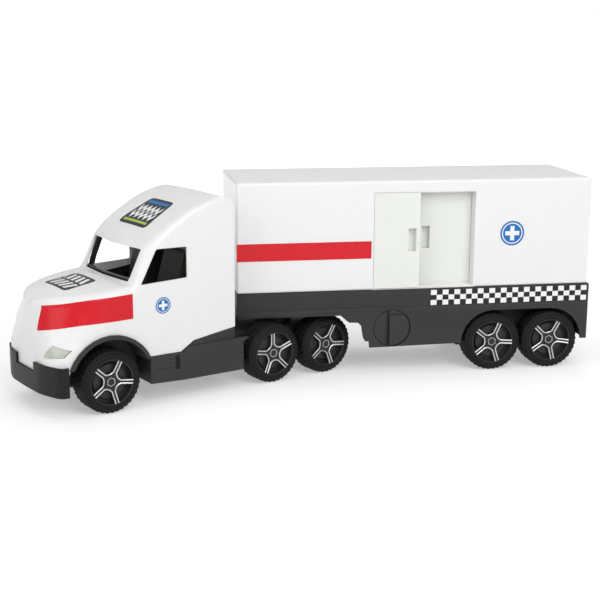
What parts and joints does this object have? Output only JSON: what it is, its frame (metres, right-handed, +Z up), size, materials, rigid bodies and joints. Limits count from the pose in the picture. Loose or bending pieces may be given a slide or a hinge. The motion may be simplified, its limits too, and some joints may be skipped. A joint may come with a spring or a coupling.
{
  "type": "toy rescue truck with trailer",
  "caption": "Toy rescue truck: cab tractor on rolling wheels that pulls a box trailer with sliding side doors and folding support legs.",
  "frame": {"origin": "centre of the object's box, on the floor under the wheels", "axes": "+Z up, +Y from the cab's end towards the trailer's rear, +X towards the truck's left side, where the side doors are"},
  "size_m": [0.325, 0.7868, 0.2653],
  "materials": {
    "white_shell": "satin moulded",
    "door_white": "satin moulded",
    "dark_moulding": "fine matt moulded",
    "tyre_grey": "matt moulded",
    "rim_black": "satin with printed silver edges",
    "headlight_grey": "smooth printed panel",
    "axle_steel": "drawn rod"
  },
  "bodies": {
    "root": {"trailer_box": "white_shell", "trailer_chassis": "dark_moulding", "kingpin": "axle_steel"},
    "tractor": {"tractor_chassis": "dark_moulding", "cab_shell": "white_shell", "cab_insert": "dark_moulding", "headlight_left": "headlight_grey", "headlight_right": "headlight_grey", "front_bumper": "dark_moulding", "fifth_wheel": "dark_moulding"},
    "tractor_front_wheels": {"tractor_front_axle": "axle_steel", "tractor_front_rim_left": "rim_black", "tractor_front_rim_right": "rim_black", "tractor_front_tyre_left": "tyre_grey", "tractor_front_tyre_right": "tyre_grey"},
    "tractor_drive_wheels": {"tractor_drive_axle": "axle_steel", "tractor_drive_rim_left": "rim_black", "tractor_drive_rim_right": "rim_black", "tractor_drive_tyre_left": "tyre_grey", "tractor_drive_tyre_right": "tyre_grey"},
    "tractor_tag_wheels": {"tractor_tag_axle": "axle_steel", "tractor_tag_rim_left": "rim_black", "tractor_tag_rim_right": "rim_black", "tractor_tag_tyre_left": "tyre_grey", "tractor_tag_tyre_right": "tyre_grey"},
    "trailer_front_wheels": {"trailer_front_axle": "axle_steel", "trailer_front_rim_left": "rim_black", "trailer_front_rim_right": "rim_black", "trailer_front_tyre_left": "tyre_grey", "trailer_front_tyre_right": "tyre_grey"},
    "trailer_rear_wheels": {"trailer_rear_axle": "axle_steel", "trailer_rear_rim_left": "rim_black", "trailer_rear_rim_right": "rim_black", "trailer_rear_tyre_left": "tyre_grey", "trailer_rear_tyre_right": "tyre_grey"},
    "door_front": {"side_door_front": "door_white"},
    "door_rear": {"side_door_rear": "door_white"},
    "leg_left": {"support_leg_left": "dark_moulding"},
    "leg_right": {"support_leg_right": "dark_moulding"}
  },
  "joints": [
    {"name": "hitch", "type": "hinge", "parent": "root", "child": "tractor", "pos_m": [-0.05902, -0.03684, 0.08], "axis": [0, 0, 1], "range_deg": [-105, 54]},
    {"name": "tractor_front_roll", "type": "hinge", "parent": "tractor", "child": "tractor_front_wheels", "pos_m": [0.06474, -0.29889, 0.04], "axis": [0.9042, 0.427, 0], "continuous": true},
    {"name": "tractor_drive_roll", "type": "hinge", "parent": "tractor", "child": "tractor_drive_wheels", "pos_m": [-0.03715, -0.08314, 0.04], "axis": [0.9042, 0.427, 0], "continuous": true},
    {"name": "tractor_tag_roll", "type": "hinge", "parent": "tractor", "child": "tractor_tag_wheels", "pos_m": [-0.07396, -0.00519, 0.04], "axis": [0.9042, 0.427, 0], "continuous": true},
    {"name": "trailer_front_roll", "type": "hinge", "parent": "root", "child": "trailer_front_wheels", "pos_m": [-0.05902, 0.25686, 0.04], "axis": [1, 0, 0], "continuous": true},
    {"name": "trailer_rear_roll", "type": "hinge", "parent": "root", "child": "trailer_rear_wheels", "pos_m": [-0.05902, 0.33966, 0.04], "axis": [1, 0, 0], "continuous": true},
    {"name": "door_front_slide", "type": "slide", "parent": "root", "child": "door_front", "axis": [0, 1, 0], "range_m": [0, 0.0755]},
    {"name": "door_rear_slide", "type": "slide", "parent": "root", "child": "door_rear", "axis": [0, -1, 0], "range_m": [0, 0.0555]},
    {"name": "leg_left_fold", "type": "hinge", "parent": "root", "child": "leg_left", "pos_m": [0.01668, 0.11426, 0.065], "axis": [-1, 0, 0], "range_deg": [0, 90]},
    {"name": "leg_right_fold", "type": "hinge", "parent": "root", "child": "leg_right", "pos_m": [-0.13472, 0.11426, 0.065], "axis": [-1, 0, 0], "range_deg": [0, 90]}
  ]
}
